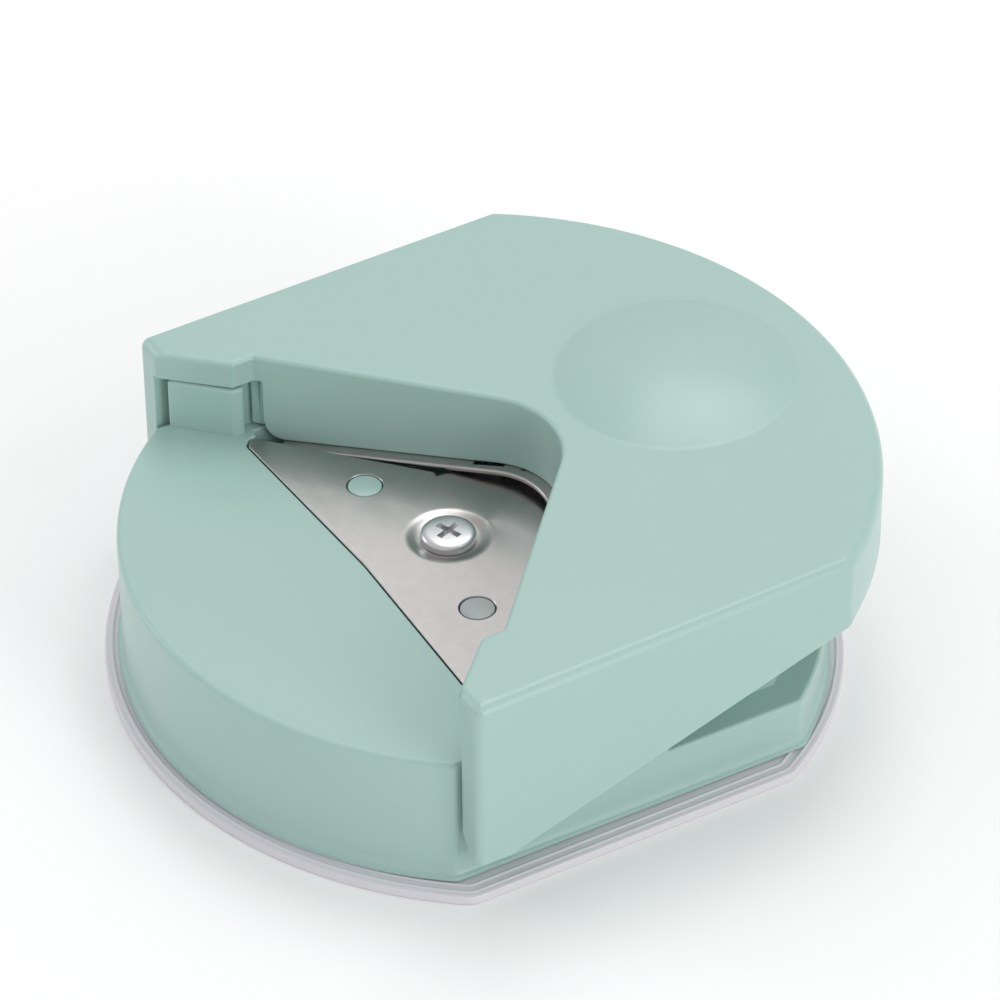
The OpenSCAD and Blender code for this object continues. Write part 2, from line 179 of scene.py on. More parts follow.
def outline(segs, radii, d=0.0, n_corner=6):
    """Points of an outline drawn in by d, and a tag (segment number, share along it) for each.

    d is one distance, or a list with one for each segment. radii[i] rounds the joint after segment i,
    where the segment number is i + 0.5, and None is a smooth joint.
    """
    count = len(segs)
    d = d if isinstance(d, list) else [d] * count
    segs = [inward(s, k) for s, k in zip(segs, d)]
    joints = [(i, (i + 1) % count) for i in range(count)]
    spots = [None if radii[i] is None else meet(segs[i], segs[j]) for i, j in joints]
    for (i, j), spot in zip(joints, spots):
        if spot is not None:
            cut(segs[i], spot, True)
            cut(segs[j], spot, False)
    bends = []
    for i, j in joints:
        smooth = radii[i] is None
        bends.append(None if smooth else bend_size(segs[i], segs[j], radii[i], (d[i] + d[j]) / 2))
    for (i, j), bend in zip(joints, bends):
        if bend:
            back_off(segs[i], bend[2], True)
            back_off(segs[j], bend[2], False)
    points, tags = [], []
    for i, j in joints:
        shares = [k / segs[i]["n"] for k in range(segs[i]["n"] + 1)]
        points += [at(segs[i], t) for t in shares]
        tags += [(i, t) for t in shares]
        if bends[i]:
            shares = [k / n_corner for k in range(1, n_corner)]
            points += bend_points(segs[i], segs[j], bends[i], shares)
            tags += [(i + 0.5, t) for t in shares]
    return points, tags


def circle(cx, cy, r, n=48):
    return [Vector((cx + r * cos(2 * pi * k / n), cy + r * sin(2 * pi * k / n))) for k in range(n)]


# ---------------------------------------------------------------- meshes


class Shell:
    """A mesh built in mm, mostly from rings of points."""

    def __init__(self):
        self.bm = bmesh.new()

    def ring(self, points, z):
        """z is a height, a function of x and y, or a list of heights."""
        if callable(z):
            z = [z(p.x, p.y) for p in points]
        elif not isinstance(z, list):
            z = [z] * len(points)
        return [self.bm.verts.new((p.x, p.y, h)) for p, h in zip(points, z)]

    def face(self, *verts):
        kept = []
        for v in verts:
            if all((v.co - k.co).length > 1e-6 for k in kept):
                kept.append(v)
        if len(kept) > 2:
            try:
                self.bm.faces.new(kept)
            except ValueError:
                pass

    def strip(self, a, b, closed=True):
        n = len(a)
        for i in range(n if closed else n - 1):
            j = (i + 1) % n
            self.face(a[i], a[j], b[j], b[i])

    def stack(self, rings):
        for a, b in zip(rings, rings[1:]):
            self.strip(a, b)

    def fan(self, ring, x, y, z):
        tip = self.bm.verts.new((x, y, z))
        for i in range(len(ring)):
            self.face(ring[i], ring[(i + 1) % len(ring)], tip)

    def fill(self, loops, z, rims=(), points=()):
        """A face between closed loops, at height z or z(x, y), with the rims and points in it."""
        coords, edges, borders = [], [], []
        for source in (*loops, *rims):
            spots = distinct(source)
            base, n = len(coords), len(spots)
            coords += [Vector(p) for p in spots]
            edges += [(base + i, base + (i + 1) % n) for i in range(n)]
            borders.append(spots)
        borders = borders[: len(loops)]
        coords += [Vector(p) for p in points]
        out = delaunay_2d_cdt(coords, edges, [], 0, 1e-6)
        verts = [self.bm.verts.new((p.x, p.y, z(p.x, p.y) if callable(z) else z)) for p in out[0]]
        for tri in out[2]:
            cx = sum(out[0][i].x for i in tri) / 3
            cy = sum(out[0][i].y for i in tri) / 3
            if sum(inside(cx, cy, border) for border in borders) % 2:
                self.face(*[verts[i] for i in tri])
        for v in [v for v in verts if not v.link_faces]:
            self.bm.verts.remove(v)

    def done(self, name, material, body, replaces=(), slot=None, sharp=32, merge=3e-4, weighted=True):
        bmesh.ops.remove_doubles(self.bm, verts=self.bm.verts, dist=merge)
        bmesh.ops.dissolve_degenerate(self.bm, dist=1e-5, edges=self.bm.edges)
        for v in [v for v in self.bm.verts if not v.link_faces]:
            self.bm.verts.remove(v)
        bmesh.ops.recalc_face_normals(self.bm, faces=self.bm.faces)
        for f in self.bm.faces:
            f.smooth = True
        for e in self.bm.edges:
            e.smooth = len(e.link_faces) == 2 and e.calc_face_angle(0) < radians(sharp)
        bmesh.ops.scale(self.bm, vec=(MM, MM, MM), verts=self.bm.verts)
        mesh = bpy.data.meshes.new(name)
        self.bm.to_mesh(mesh)
        self.bm.free()
        o = bpy.data.objects.new(name, mesh)
        bpy.context.scene.collection.objects.link(o)
        mesh.materials.append(material)
        if weighted:
            m = o.modifiers.new("weighted", "WEIGHTED_NORMAL")
            m.mode, m.weight, m.keep_sharp = "FACE_AREA", 50, True
        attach(o, body)
        if replaces:
            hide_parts(*replaces)
        return o


def distinct(source):
    """(x, y) round a closed loop of verts or points, without repeats."""
    kept = []
    for v in source:
        p = v.co if hasattr(v, "co") else v
        if not kept or hypot(p.x - kept[-1][0], p.y - kept[-1][1]) > 1e-5:
            kept.append((p.x, p.y))
    if hypot(kept[0][0] - kept[-1][0], kept[0][1] - kept[-1][1]) < 1e-5:
        kept.pop()
    return kept


def inside(x, y, loop):
    hit = False
    j = len(loop) - 1
    for i in range(len(loop)):
        xi, yi = loop[i]
        xj, yj = loop[j]
        if (yi > y) != (yj > y) and x < (xj - xi) * (y - yi) / (yj - yi) + xi:
            hit = not hit
        j = i
    return hit


def quarter(steps):
    """(share drawn in, share down) along a rounded edge, from the flat face to the wall."""
    angles = [pi / 2 * (1 - k / steps) for k in range(steps + 1)]
    return [(1 - cos(a), 1 - sin(a)) for a in angles]


# ---------------------------------------------------------------- materials


def shader(name, color, rough, **inputs):
    m = bpy.data.materials.new(name)
    m.use_nodes = True
    b = m.node_tree.nodes["Principled BSDF"]
    b.inputs["Base Color"].default_value = (*color, 1)
    b.inputs["Roughness"].default_value = rough
    for key, value in inputs.items():
        b.inputs[key.replace("_", " ")].default_value = value
    return m, m.node_tree, b


def noise(tree, scale, detail=3, stretch=None, rough=0.5):
    coord = tree.nodes.new("ShaderNodeTexCoord")
    tex = tree.nodes.new("ShaderNodeTexNoise")
    tex.inputs["Scale"].default_value = scale
    tex.inputs["Detail"].default_value = detail
    tex.inputs["Roughness"].default_value = rough
    source = coord.outputs["Object"]
    if stretch:
        mapping = tree.nodes.new("ShaderNodeMapping")
        mapping.inputs["Scale"].default_value = stretch[0]
        mapping.inputs["Rotation"].default_value = stretch[1]
        tree.links.new(source, mapping.inputs["Vector"])
        source = mapping.outputs["Vector"]
    tree.links.new(source, tex.inputs["Vector"])
    return tex.outputs["Fac"]


def ramp(tree, fac, low, high):
    """Colour that goes from low to high as fac goes from 0 to 1."""
    node = tree.nodes.new("ShaderNodeValToRGB")
    for element, position, color in zip(node.color_ramp.elements, (0.0, 1.0), (low, high)):
        element.position, element.color = position, (*color, 1)
    tree.links.new(fac, node.inputs["Fac"])
    return node.outputs["Color"]


def bump(tree, shader_node, fac, strength, distance):
    node = tree.nodes.new("ShaderNodeBump")
    node.inputs["Strength"].default_value = strength
    node.inputs["Distance"].default_value = distance
    tree.links.new(fac, node.inputs["Height"])
    tree.links.new(node.outputs["Normal"], shader_node.inputs["Normal"])


def tinted(color, k):
    return tuple(max(0.0, min(1.0, c * k)) for c in color)


def varied(tree, socket, fac, color, spread):
    """Feed a colour socket with the colour, darker and lighter by spread."""
    tree.links.new(ramp(tree, fac, tinted(color, 1 - spread), tinted(color, 1 + spread)), socket)


def rough_range(tree, shader_node, fac, low, high):
    node = tree.nodes.new("ShaderNodeMapRange")
    node.inputs["From Min"].default_value, node.inputs["From Max"].default_value = 0.0, 1.0
    node.inputs["To Min"].default_value, node.inputs["To Max"].default_value = low, high
    tree.links.new(fac, node.inputs["Value"])
    tree.links.new(node.outputs["Result"], shader_node.inputs["Roughness"])


def make_mint():
    color = (0.365, 0.532, 0.490)
    m, t, b = shader("mint_abs", color, 0.26)
    b.inputs["IOR"].default_value = 1.5
    b.inputs["Subsurface Weight"].default_value = 0.18
    b.inputs["Subsurface Radius"].default_value = (0.6, 1.0, 0.8)
    b.inputs["Subsurface Scale"].default_value = 0.0012
    fine = noise(t, 1600, 2, rough=0.4)
    varied(t, b.inputs["Base Color"], noise(t, 40, 2), color, 0.02)
    rough_range(t, b, noise(t, 400, 3), 0.26, 0.34)
    bump(t, b, fine, 0.02, 0.00001)
    return m


def make_plate():
    color = (0.465, 0.45, 0.445)
    m, t, b = shader("plate_steel", color, 0.34, Metallic=1.0)
    grain = noise(t, 420, 6, ((0.05, 1.0, 1.0), (0, 0, radians(8))), 0.7)
    varied(t, b.inputs["Base Color"], noise(t, 700, 5, rough=0.7), color, 0.12)
    rough_range(t, b, grain, 0.20, 0.42)
    bump(t, b, grain, 0.10, 0.00002)
    b.inputs["Anisotropic"].default_value = 0.35
    return m


def make_metal(name, color, low, high, scale=500, metallic=1.0):
    m, t, b = shader(name, color, low, Metallic=metallic)
    f = noise(t, scale, 5, rough=0.6)
    varied(t, b.inputs["Base Color"], f, color, 0.08)
    rough_range(t, b, f, low, high)
    bump(t, b, f, 0.08, 0.00002)
    return m


def make_plastic(name, color, low, high):
    m, t, b = shader(name, color, low)
    f = noise(t, 800, 5, rough=0.6)
    varied(t, b.inputs["Base Color"], f, color, 0.12)
    rough_range(t, b, f, low, high)
    bump(t, b, f, 0.10, 0.00003)
    return m


def make_clear():
    m, t, b = shader("clear_plastic", (0.86, 0.84, 0.89), 0.15)
    b.inputs["IOR"].default_value = 1.49
    b.inputs["Transmission Weight"].default_value = 0.2
    f = noise(t, 300, 4, rough=0.6)
    rough_range(t, b, f, 0.08, 0.22)
    bump(t, b, noise(t, 60, 3), 0.06, 0.0002)
    return m


mint = make_mint()
plate_steel = make_plate()
screw_zinc = make_metal("screw_zinc", (0.66, 0.66, 0.67), 0.22, 0.36)
pin_steel = make_metal("pin_steel", (0.55, 0.55, 0.56), 0.22, 0.34)
spring_steel = make_metal("spring_steel", (0.50, 0.50, 0.51), 0.28, 0.40)
brass = make_metal("bush_brass", (0.72, 0.55, 0.26), 0.26, 0.40)
dark_plastic = make_plastic("dark_plastic", (0.035, 0.036, 0.04), 0.42, 0.55)
clear = make_clear()
# painted reflection: a greyer mint for the right peg, standing in for the grey it reflects
reflection_tinted_peg = make_plastic("peg_painted_reflection", (0.37, 0.405, 0.405), 0.30, 0.40)

FINISH = {
    "dark_plastic": dark_plastic,
    "screw_steel": screw_zinc,
    "pin_steel": pin_steel,
    "spring_steel": spring_steel,
    "bush_brass": brass,
    "mint_plastic": mint,
    "plate_steel": plate_steel,
    "clear_plastic": clear,
}
for part in frame["record"]["subparts"]:
    o = nodes[part["node"]]
    o.data.materials.clear()
    o.data.materials.append(FINISH[part["material_slot"]])

# ---------------------------------------------------------------- sizes, in mm
# Half widths are measured from x = 0, and heights from the bottom of the tray.
LEVER_X = 29.0
TIP_Y = -17.5
TOP_Z = 20.5
TILT = tan(radians(1.55))
CAP_T = 2.6
HALF = radians(47.67)
NOTCH_Y = 8.73
NOTCH_R = 7.7
NOTCH_CY = NOTCH_Y - NOTCH_R / sin(HALF)
SLOPE = 1 / tan(HALF)
PRESS = tan(radians(8))
PLATE_T = 0.5
UPPER_X = 19.6
DIE_T = 1.0
TABLE = 13.0
DECK = 10.6
LEDGE = 5.9
INSET = 2.9
SCREW_Y = -3.7
PEG_X, PEG_Y = 9.56, -6.4


def top_z(y):
    """Top of the lever's cap, away from the dome."""
    return TOP_Z + TILT * (y - TIP_Y)


def plate_z(y):
    """Underside of the upper plate, which rests on the die at an angle."""
    return TABLE + 0.03 + PRESS * y


def notch_line(x):
    """Front of the cap beside the notch's rounded end."""
    return NOTCH_Y - SLOPE * abs(x)


# ---------------------------------------------------------------- press lever
JOG_Y = -12.6
NOTCH_X = 21.2
PANEL_X = 21.0
WALL_X = 20.65
END_X = 19.4
INNER_X = 26.45
CORNER_X = 26.0
CHAMFER_X, CHAMFER_H = 27.7, 1.5
REAR_R = 35.6
REAR_CY = -3.4
SKIRT_LOW_Y, SKIRT_LOW_Z = -14.5, 4.4
SKIRT_HIGH_Y, SKIRT_HIGH_Z = 18.0, 14.95
SKIRT_RISE = (SKIRT_HIGH_Z - SKIRT_LOW_Z) / (SKIRT_HIGH_Y - SKIRT_LOW_Y)
REAR_RISE = 0.25 / 22
SIDE_BEND, TIP_BEND = 0.9, 0.75
SIDE_END = REAR_CY + sqrt(REAR_R**2 - LEVER_X**2)
rear_a = degrees(asin((SIDE_END - REAR_CY) / REAR_R))
touch = Vector((NOTCH_R * cos(HALF), NOTCH_CY + NOTCH_R * sin(HALF)))

side = chain([(LEVER_X, TIP_Y, 3), (LEVER_X, SKIRT_LOW_Y, 20), (LEVER_X, SIDE_END, 0)])
front = chain([
    (-LEVER_X, TIP_Y, 1), (-CHAMFER_X, TIP_Y, 2), (-INNER_X, TIP_Y, 1), (-CORNER_X, TIP_Y, 4),
    (-NOTCH_X, JOG_Y, 2), (-NOTCH_X, notch_line(NOTCH_X), 1), (-PANEL_X, notch_line(PANEL_X), 1),
    (-WALL_X, notch_line(WALL_X), 10), (-END_X, notch_line(END_X), 16), (-touch.x, touch.y, 0),
])
rear_arc = arc((0, REAR_CY), REAR_R, rear_a, 180 - rear_a, 72)
notch_arc = arc((0, NOTCH_CY), NOTCH_R, 180 - degrees(HALF), degrees(HALF), 24)
LEVER = side + [rear_arc] + mirrored(side) + front + [notch_arc] + mirrored(front)
front_bends = [None, None, 0.12, 0.3, 0.2, None, None, None, None]
side_bends = [None, SIDE_BEND, SIDE_BEND, None, TIP_BEND]
LEVER_R = side_bends + front_bends + front_bends[::-1] + [TIP_BEND]
OUTER_EDGE, NOTCH_EDGE = 0.95, 0.38
EDGES = [OUTER_EDGE if i < 8 or i > 20 else NOTCH_EDGE for i in range(len(LEVER))]
FOOT_EDGE = 0.28
REVEAL = 0.12
PANEL_IN = 0.5
PANEL_Z = 13.9
END_R = 1.8
WALL_T, CAP_STRIP = 1.6, 0.3
FRONT_IN = TIP_Y + 0.3
TIP_FLAT_X = LEVER_X - TIP_BEND + 0.05
ARM_END = 10.0
THINNER, THIN_FROM, THIN_TO = 1.3, 1.0, 5.0
INNER_R = 32.9
INNER_END = REAR_CY + sqrt(INNER_R**2 - INNER_X**2)
DOME_R, DOME_H, DOME_Y = 10.3, 1.75, 18.4
DOME_BALL = (DOME_R**2 + DOME_H**2) / (2 * DOME_H)


def below_cap(tag):
    """What is under the cap at a point of the lever's outline; "cap" where nothing hangs from it."""
    i = tag[0]
    if i <= 6 or i >= 22:
        return "skirt"
    if i in (11, 17):
        return "panel"
    return "wall" if 12 <= i <= 16 else "cap"


def edge_r(tag):
    """Radius of the rounded top edge, blended round the outline's corners."""
    i, t = tag
    if i % 1:
        return EDGES[int(i)] * (1 - t) + EDGES[(int(i) + 1) % len(EDGES)] * t
    return EDGES[int(i)]


def skirt_z(y):
    """Lower edge of the skirt, which rises from the front end to the rear corners."""
    if y < SKIRT_LOW_Y:
        return SKIRT_LOW_Z
    if y < SKIRT_HIGH_Y:
        return SKIRT_LOW_Z + (y - SKIRT_LOW_Y) * SKIRT_RISE
    return SKIRT_HIGH_Z + (y - SKIRT_HIGH_Y) * REAR_RISE


def lower_edge(p, where):
    """Height of the lever's lower edge at a point of its outline."""
    if where == "skirt":
        z = skirt_z(p.y)
        if abs(p.x) < CHAMFER_X and p.y < TIP_Y + 0.5:
            z += CHAMFER_H * (CHAMFER_X - abs(p.x)) / (CHAMFER_X - INNER_X)
        return z
    if where == "panel":
        return PANEL_Z
    if where == "wall":
        z = plate_z(p.y) + PLATE_T
        s = (WALL_X - abs(p.x)) / cos(atan2(SLOPE, 1))
        if s < END_R:
            z += END_R - sqrt(max(END_R**2 - (END_R - s) ** 2, 0))
        return z
    return top_z(p.y) - CAP_T


def inner_face(p, on_arc):
    """Point of the skirt's inner face across from a point of the outline."""
    side = 1 if p.x > 0 else -1
    if on_arc:
        a = atan2(p.y - REAR_CY, p.x)
        q = Vector((INNER_R * cos(a), REAR_CY + INNER_R * sin(a)))
        return q if abs(q.x) <= INNER_X else Vector((side * INNER_X, INNER_END))
    return Vector((side * INNER_X, min(max(p.y, FRONT_IN), INNER_END)))


def ceiling(x, y):
    """Underside of the cap, thinner behind the notch, over the guide posts."""
    share = min(max((y - THIN_FROM) / (THIN_TO - THIN_FROM), 0), 1)
    return top_z(y) - CAP_T + THINNER * share


def dome_z(x, y):
    """Top of the lever, with the thumb dome."""
    r = hypot(x, y - DOME_Y)
    if r >= DOME_R:
        return top_z(y)
    return top_z(y) + max(sqrt(DOME_BALL**2 - r * r) - (DOME_BALL - DOME_H), 0)


def dome_points():
    """Points that carry the dome: rings that close up towards its rim, and two rings outside it."""
    spots = [(0.0, DOME_Y)]
    for k in range(1, 17):
        r = DOME_R * sin(pi / 2 * k / 16) ** 0.9
        n = 12 + 6 * k
        for j in range(n):
            a = 2 * pi * (j + 0.5 * (k % 2)) / n
            spots.append((r * cos(a), DOME_Y + r * sin(a)))
    spots = [s for s in spots if hypot(s[0], s[1] - DOME_Y) < DOME_R - 0.05]
    for r in (DOME_R + 0.35, DOME_R + 1.0):
        spots += [(p.x, p.y) for p in circle(0, DOME_Y, r, 108)]
    return spots


def under_rings(sh, flat, tags, where, low):
    """Rings along the underside, up the skirt's inner face and to the ceiling."""
    draw_ins = (WALL_T / 2, WALL_T, CAP_STRIP, FOOT_EDGE)
    near, thick, soft, tucked = [outline(LEVER, LEVER_R, d)[0] for d in draw_ins]
    middle, inner, middle_z, inner_z = [], [], [], []
    for i, (p, w) in enumerate(zip(flat, where)):
        if w == "skirt":
            if abs(p.x) < TIP_FLAT_X and p.y < TIP_Y + 0.01:
                middle.append(tucked[i])
            elif near[i].y < ARM_END:
                middle.append(Vector((min(max(near[i].x, -CHAMFER_X), CHAMFER_X), near[i].y)))
            else:
                middle.append(near[i])
            inner.append(inner_face(p, tags[i][0] == 2))
            middle_z.append(low[i])
            inner_z.append(skirt_z(p.y) + CHAMFER_H)
            continue
        middle.append(soft[i] if w == "cap" else near[i])
        inner.append(soft[i] if w == "cap" else thick[i])
        # the notch wall's underside lies on the sloping upper plate
        slope = PRESS if w == "wall" else 0
        middle_z.append(low[i] + slope * (middle[i].y - p.y))
        inner_z.append(low[i] + slope * (inner[i].y - p.y))
    return [sh.ring(middle, middle_z), sh.ring(inner, inner_z), sh.ring(inner, ceiling)]


def make_lever():
    sh = Shell()
    flat, tags = outline(LEVER, LEVER_R)
    where = [below_cap(t) for t in tags]
    hangs = [w in ("wall", "skirt") for w in where]
    under = [top_z(p.y) - CAP_T for p in flat]
    low = [lower_edge(p, w) for p, w in zip(flat, where)]
    shoulder = [max(u, z + FOOT_EDGE) if h else u for u, z, h in zip(under, low, hangs)]
    every = range(len(flat))

    def drawn(d):
        return outline(LEVER, LEVER_R, d)[0]

    # the rounded top edge, then the cap's edge or the face that hangs from it
    rings = []
    for share, drop in quarter(6):
        pts = drawn([r * share for r in EDGES])
        rings.append(sh.ring(pts, [top_z(p.y) - edge_r(t) * drop for p, t in zip(pts, tags)]))
    first = rings[0]
    lip, step = drawn(REVEAL), drawn(PANEL_IN)
    rings.append(sh.ring(flat, [shoulder[i] if hangs[i] else under[i] + REVEAL for i in every]))
    rings.append(sh.ring([flat[i] if hangs[i] else lip[i] for i in every], shoulder))
    set_back = {"skirt": flat, "wall": flat, "panel": step, "cap": lip}
    rings.append(sh.ring([set_back[where[i]][i] for i in every], shoulder))

    # the rounded lower edge
    for share, drop in ((0, 1.0), (0.3, 0.3), (1.0, 0.0)):
        moved, panel = drawn(FOOT_EDGE * share), drawn(PANEL_IN + FOOT_EDGE * share)
        foot = {"skirt": moved, "wall": moved, "panel": panel, "cap": lip}
        heights = [under[i] if where[i] == "cap" else low[i] + FOOT_EDGE * drop for i in every]
        rings.append(sh.ring([foot[where[i]][i] for i in every], heights))

    rings += under_rings(sh, flat, tags, where, low)
    sh.stack(rings)
    sh.fill([rings[-1]], ceiling)
    sh.fill([first], dome_z, rims=[circle(0, DOME_Y, DOME_R, 108)], points=dome_points())
    sh.done("lever_shell", mint, "lever", ["press_lever"], "mint_plastic")


FIN_X, FIN_BACK, FIN_L, FIN_T = 20.68, 0.44, 1.25, 0.4
FIN_FOOT, FIN_EDGE, FIN_BEND = 13.3, 0.12, 0.15


def fin_top(x, y):
    return top_z(y) - CAP_T + 0.02


def make_fins():
    """The set-back ends of the notch's wall, beside the posts."""
    along, back = Vector((1, -SLOPE)).normalized(), Vector((SLOPE, 1)).normalized()
    start = Vector((FIN_X, notch_line(FIN_X))) + back * FIN_BACK
    ends = (start, start + along * FIN_L, start + along * FIN_L + back * FIN_T, start + back * FIN_T)
    corners = [(v.x, v.y, FIN_BEND) for v in ends]
    for side, name in ((-1, "wall_end_left"), (1, "wall_end_right")):
        sh = Shell()
        segs, radii = polygon(corners, side)
        rings = []
        for share, drop in quarter(3):
            rings.append(sh.ring(outline(segs, radii, FIN_EDGE * share)[0], FIN_FOOT + FIN_EDGE * drop))
        rings.append(sh.ring(outline(segs, radii)[0], fin_top))
        sh.stack(rings)
        sh.fill([rings[0]], FIN_FOOT)
        sh.fill([rings[-1]], fin_top)
        sh.done(name, mint, "lever", (), "mint_plastic")


# ---------------------------------------------------------------- base
FRONT_R, FRONT_CY = 32.4, 1.64
BACK_R, BACK_CY = 32.3, -4.5
BASE_X = 25.9
STEP_Y = 2.0
front_a = degrees(acos(BASE_X / FRONT_R))
back_a = degrees(acos(BASE_X / BACK_R))
FRONT_END = FRONT_CY - FRONT_R * sin(radians(front_a))
BACK_END = BACK_CY + BACK_R * sin(radians(back_a))
WALL = 1.8
FOOT, FOOT_Z, FOOT_TOP, FOOT_RISE = 0.45, 1.05, 1.55, 1.0
SHELF_Z = 4.4
DECK_UNDER = 8.6
TABLE_EDGE, BACK_EDGE, LEDGE_EDGE, WELL_EDGE = 0.45, 0.5, 0.35, 0.12
WELL_X = 21.15
WELL_R = BACK_R - INSET - WALL
WELL_END = BACK_CY + sqrt(WELL_R**2 - WELL_X**2)
well_a = degrees(asin((WELL_END - BACK_CY) / WELL_R))
SLOT_X, SLOT_FRONT, SLOT_REAR, SLOT_BEND = 3.6, 5.3, 12.0, 0.6

BASE = [
    line((BASE_X, FRONT_END), (BASE_X, STEP_Y), 12),
    line((BASE_X, STEP_Y), (BASE_X, BACK_END), 10),
    arc((0, BACK_CY), BACK_R, back_a, 180 - back_a, 72),
    line((-BASE_X, BACK_END), (-BASE_X, STEP_Y), 10),
    line((-BASE_X, STEP_Y), (-BASE_X, FRONT_END), 12),
    arc((0, FRONT_CY), FRONT_R, 180 + front_a, 360 - front_a, 84),
]
BASE_BENDS = [None, 0.9, 0.9, None, 0.8, 0.8]
BEHIND_STEP = {1, 1.5, 2, 2.5, 3}

EDGE_Y = 7.05


def edge_line(x):
    """Rear edge of the die plate's arms."""
    return EDGE_Y - SLOPE * abs(x)


# the die plate from the middle of its front edge, round an arm's tip and along the tongue to its rear end
die_right = chain([
    (0, -11.6, 6), (19.5, -12.3, 1), (20.2, -11.6, 1), (19.95, edge_line(19.95), 8),
    (8.2, edge_line(8.2), 1), (7.6, -0.6, 4), (7.6, 9.6, 2), (5, 9.6, 2), (5, 12.6, 2), (0, 12.6, 0),
])
die_bends = [0.8, 0.45, 0.2, 0.2, 0.2, 0.5, 0.5, 0.5]
DIE = die_right + mirrored(die_right)
DIE_BENDS = die_bends + [None] + die_bends[::-1] + [12.0]


def base_profile():
    """(front draw-in, rear draw-in, front height, rear height) of each ring round the base.

    The rings go down inside, under the foot and up outside. Behind the step the wall has a ledge.
    """
    inner = WALL + INSET
    rows = [
        (inner, DECK_UNDER), (inner, SHELF_Z), (WALL, SHELF_Z), (WALL, FOOT_Z + 0.2), (WALL - 0.2, FOOT_Z),
        (0.15 - FOOT, FOOT_Z), (-FOOT, FOOT_Z + 0.15), (-FOOT, FOOT_TOP),
    ]
    for k in range(1, 6):
        a = pi / 2 * k / 5
        rows.append((-FOOT * (1 - sin(a)), FOOT_TOP + FOOT_RISE * (1 - cos(a))))
    rows = [(d, d, z, z) for d, z in rows]
    for share, drop in reversed(quarter(4)):
        rows.append((0, LEDGE_EDGE * share, LEDGE - LEDGE_EDGE, LEDGE - LEDGE_EDGE * drop))
    rows += [
        (0, INSET - 0.25, LEDGE, LEDGE),
        (0, INSET - 0.07, LEDGE + 0.01, LEDGE + 0.07),
        (0, INSET, LEDGE + 0.02, LEDGE + 0.25),
    ]
    for share, drop in reversed(quarter(5)):
        front_row = TABLE_EDGE * share, TABLE - TABLE_EDGE * drop
        rear_row = INSET + BACK_EDGE * share, TABLE - BACK_EDGE * drop
        rows.append((front_row[0], rear_row[0], front_row[1], rear_row[1]))
    return rows


def base_ring(sh, front_d, rear_d, front_z, rear_z):
    """A ring round the base, with its own draw-in and height behind the step."""
    ahead, tags = outline(BASE, BASE_BENDS, front_d)
    behind = outline(BASE, BASE_BENDS, rear_d)[0]
    rear = [t[0] in BEHIND_STEP for t in tags]
    points = [q if r else p for p, q, r in zip(ahead, behind, rear)]
    return sh.ring(points, [rear_z if r else front_z for r in rear])


def well_rings(sh):
    """The wall of the opening behind the table, for the die plate and the mechanism."""
    right = chain([
        (0, -11.74, 6), (19.6, -12.45, 1), (20.36, -11.7, 1), (20.3, -11.05, 2),
        (WELL_X, -10.95, 8), (WELL_X, WELL_END, 0),
    ])
    hole = right + [arc((0, BACK_CY), WELL_R, well_a, 180 - well_a, 48)] + mirrored(right)
    bends = [0.8, 0.3, 0.3, 0.2, 1.0, 1.0, 0.2, 0.3, 0.3, 0.8, 12.0]
    rings = []
    for share, drop in quarter(3):
        points = outline(hole, bends, -WELL_EDGE * share, n_corner=5)[0]
        rings.append(sh.ring(points, TABLE - WELL_EDGE * drop))
    rings.append(sh.ring(outline(hole, bends, n_corner=5)[0], DECK))
    return rings


def chip_slot():
    """The opening that the chips drop through."""
    slot = chain([
        (-SLOT_X, SLOT_FRONT, 4), (SLOT_X, SLOT_FRONT, 2), (SLOT_X, SLOT_REAR, 4), (-SLOT_X, SLOT_REAR, 2),
        (-SLOT_X, SLOT_FRONT, 0),
    ])
    return outline(slot, [SLOT_BEND] * 4)[0]


def make_base():
    sh = Shell()
    rings = [base_ring(sh, *row) for row in base_profile()]
    well = well_rings(sh)
    slot = [sh.ring(chip_slot(), z) for z in (DECK, DECK_UNDER)]
    for wall in (rings, well, slot):
        sh.stack(wall)
    sh.fill([rings[-1], well[0]], TABLE)
    sh.fill([well[-1], slot[0]], DECK)
    sh.fill([rings[0], slot[1]], DECK_UNDER)
    sh.done("base_shell", mint, "base", ["base_body"], "mint_plastic")


def make_seat():
    """The deck's raised seat under the die plate."""
    sh = Shell()
    levels = (DECK - 0.3, TABLE - DIE_T - 0.02)
    rims = [sh.ring(outline(DIE, DIE_BENDS, 0.06)[0], z) for z in levels]
    slot = [sh.ring(chip_slot(), z) for z in levels]
    sh.stack(rims)
    sh.stack(slot)
    for rim, hole, z in zip(rims, slot, levels):
        sh.fill([rim, hole], z)
    sh.done("die_seat", mint, "base", (), "mint_plastic")


def make_pegs():
    """The pegs that place the die plate. The right one is painted a greyer mint, a painted reflection that
    stands in for the grey it picks up from its surroundings.
    """
    profile = [(1.46, TABLE - 1.5), (1.46, TABLE - 0.12), (1.41, TABLE - 0.04), (1.33, TABLE - 0.01)]
    for x, name, look in ((-PEG_X, "peg_left", mint), (PEG_X, "peg_right", reflection_tinted_peg)):
        sh = Shell()
        rings = [sh.ring(circle(x, PEG_Y, r), z) for r, z in profile]
        sh.stack(rings)
        sh.fan(rings[-1], x, PEG_Y, TABLE)
        sh.fan(rings[0], x, PEG_Y, profile[0][1])
        sh.done(name, look, "base", (), "mint_plastic")


POST_TOP, POST_FOOT, POST_EDGE = 17.8, TABLE - 1.2, 0.35
POST = [
    (22.3, 1.8, 0.3), (22.3, -11.5, 0.05), (21.15, -11.5, 0.45),
    (21.15, -12.6, 0.85), (25.55, -16.9, 0.15), (25.55, 1.8, 0.3),
]


